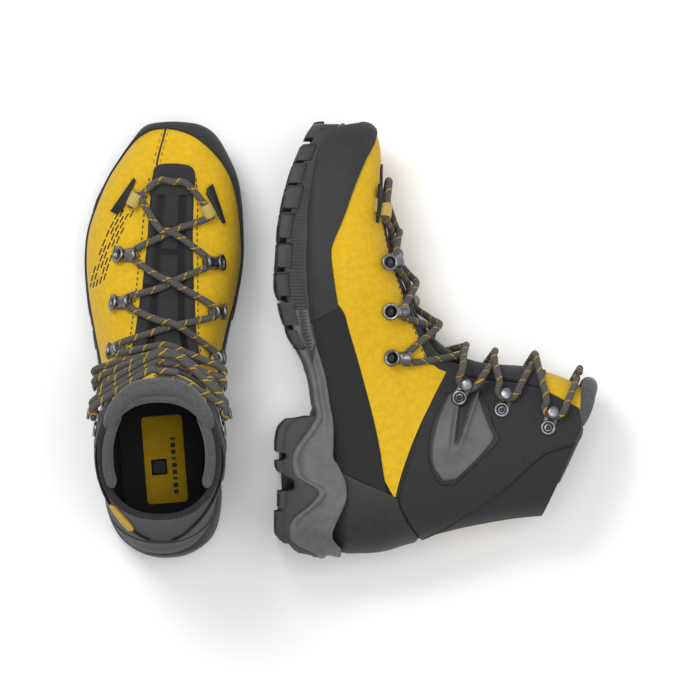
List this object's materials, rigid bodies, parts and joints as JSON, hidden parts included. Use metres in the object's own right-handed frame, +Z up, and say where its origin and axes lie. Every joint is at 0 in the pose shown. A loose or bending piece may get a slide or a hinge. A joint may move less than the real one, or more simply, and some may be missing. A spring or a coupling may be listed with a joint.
{
  "type": "mountaineering boots",
  "caption": "Pair of laced mountaineering boots with yellow uppers, dark rubber rands, lugged soles and padded cuffs that flex at the ankle.",
  "frame": {"origin": "centre of the pair's bounding box, on the floor", "axes": "+X from the standing left boot to the lying right boot, +Y towards both toes, +Z up"},
  "size_m": [0.3518, 0.3018, 0.2218],
  "materials": {
    "yellow_upper": "woven yellow textile with a rubbery coat",
    "dark_textile": "coarse dark grey woven nylon",
    "dark_softshell": "smooth dark grey stretch fabric",
    "dark_mesh": "fine dark mesh",
    "dark_rubber": "matt dark rubber with a fine grain",
    "lining": "napped grey lining",
    "grey_padding": "padded grey lining",
    "grey_plastic": "matt flexible plastic",
    "grey_foam": "smooth mid grey foam",
    "black_rubber": "matt black tread rubber",
    "steel": "plain spring steel",
    "board": "pressed board",
    "gunmetal": "dark plated metal",
    "webbing": "pale yellow webbing",
    "lace_cord": "dark braided cord with yellow flecks"
  },
  "bodies": {
    "boots": {"left_medial_vamp": "yellow_upper", "left_lateral_vamp": "yellow_upper", "left_medial_quarter": "dark_textile", "left_lateral_quarter": "dark_textile", "left_heel_counter": "dark_rubber", "left_ankle_wrap": "dark_softshell", "left_toe_rand": "dark_rubber", "left_forefoot_lining": "lining", "left_heel_lining": "lining", "left_tongue": "dark_softshell", "left_medial_ankle_insert": "grey_plastic", "left_lateral_ankle_insert": "grey_plastic", "left_midsole": "grey_foam", "left_forefoot_outsole": "black_rubber", "left_heel_outsole": "black_rubber", "left_shank_plate": "steel", "left_insole_board": "board", "left_footbed": "dark_mesh", "left_footbed_label": "yellow_upper", "left_lower_hooks": "gunmetal", "left_lower_rivets": "gunmetal", "left_toe_loops": "webbing", "left_lace": "lace_cord", "right_medial_vamp": "yellow_upper", "right_lateral_vamp": "yellow_upper", "right_medial_quarter": "dark_textile", "right_lateral_quarter": "dark_textile", "right_heel_counter": "dark_rubber", "right_ankle_wrap": "dark_softshell", "right_toe_rand": "dark_rubber", "right_forefoot_lining": "lining", "right_heel_lining": "lining", "right_tongue": "dark_softshell", "right_medial_ankle_insert": "grey_plastic", "right_lateral_ankle_insert": "grey_plastic", "right_midsole": "grey_foam", "right_forefoot_outsole": "black_rubber", "right_heel_outsole": "black_rubber", "right_shank_plate": "steel", "right_insole_board": "board", "right_footbed": "dark_mesh", "right_footbed_label": "yellow_upper", "right_lower_hooks": "gunmetal", "right_lower_rivets": "gunmetal", "right_toe_loops": "webbing", "right_lace": "lace_cord"},
    "left_cuff": {"left_medial_cuff_panel": "dark_softshell", "left_lateral_cuff_panel": "dark_softshell", "left_rear_cuff": "dark_mesh", "left_cuff_lining": "grey_padding", "left_tongue_collar": "grey_padding", "left_cuff_hooks": "gunmetal", "left_cuff_rivets": "gunmetal"},
    "right_cuff": {"right_medial_cuff_panel": "dark_softshell", "right_lateral_cuff_panel": "dark_softshell", "right_rear_cuff": "dark_mesh", "right_cuff_lining": "grey_padding", "right_tongue_collar": "grey_padding", "right_cuff_hooks": "gunmetal", "right_cuff_rivets": "gunmetal"}
  },
  "joints": [
    {"name": "left_ankle_flex", "type": "hinge", "parent": "boots", "child": "left_cuff", "pos_m": [-0.12425, -0.07075, 0.125], "axis": [-1, 0, 0], "range_deg": [-3, 9], "stiffness_Nm_per_rad": 18, "deforming": ["left_lace", "left_medial_ankle_insert", "left_lateral_ankle_insert"]},
    {"name": "right_ankle_flex", "type": "hinge", "parent": "boots", "child": "right_cuff", "pos_m": [0.07904, -0.07075, 0.04946], "axis": [0.0279, 0, 0.9996], "range_deg": [-3, 9], "stiffness_Nm_per_rad": 18, "deforming": ["right_lace", "right_medial_ankle_insert", "right_lateral_ankle_insert"]}
  ]
}
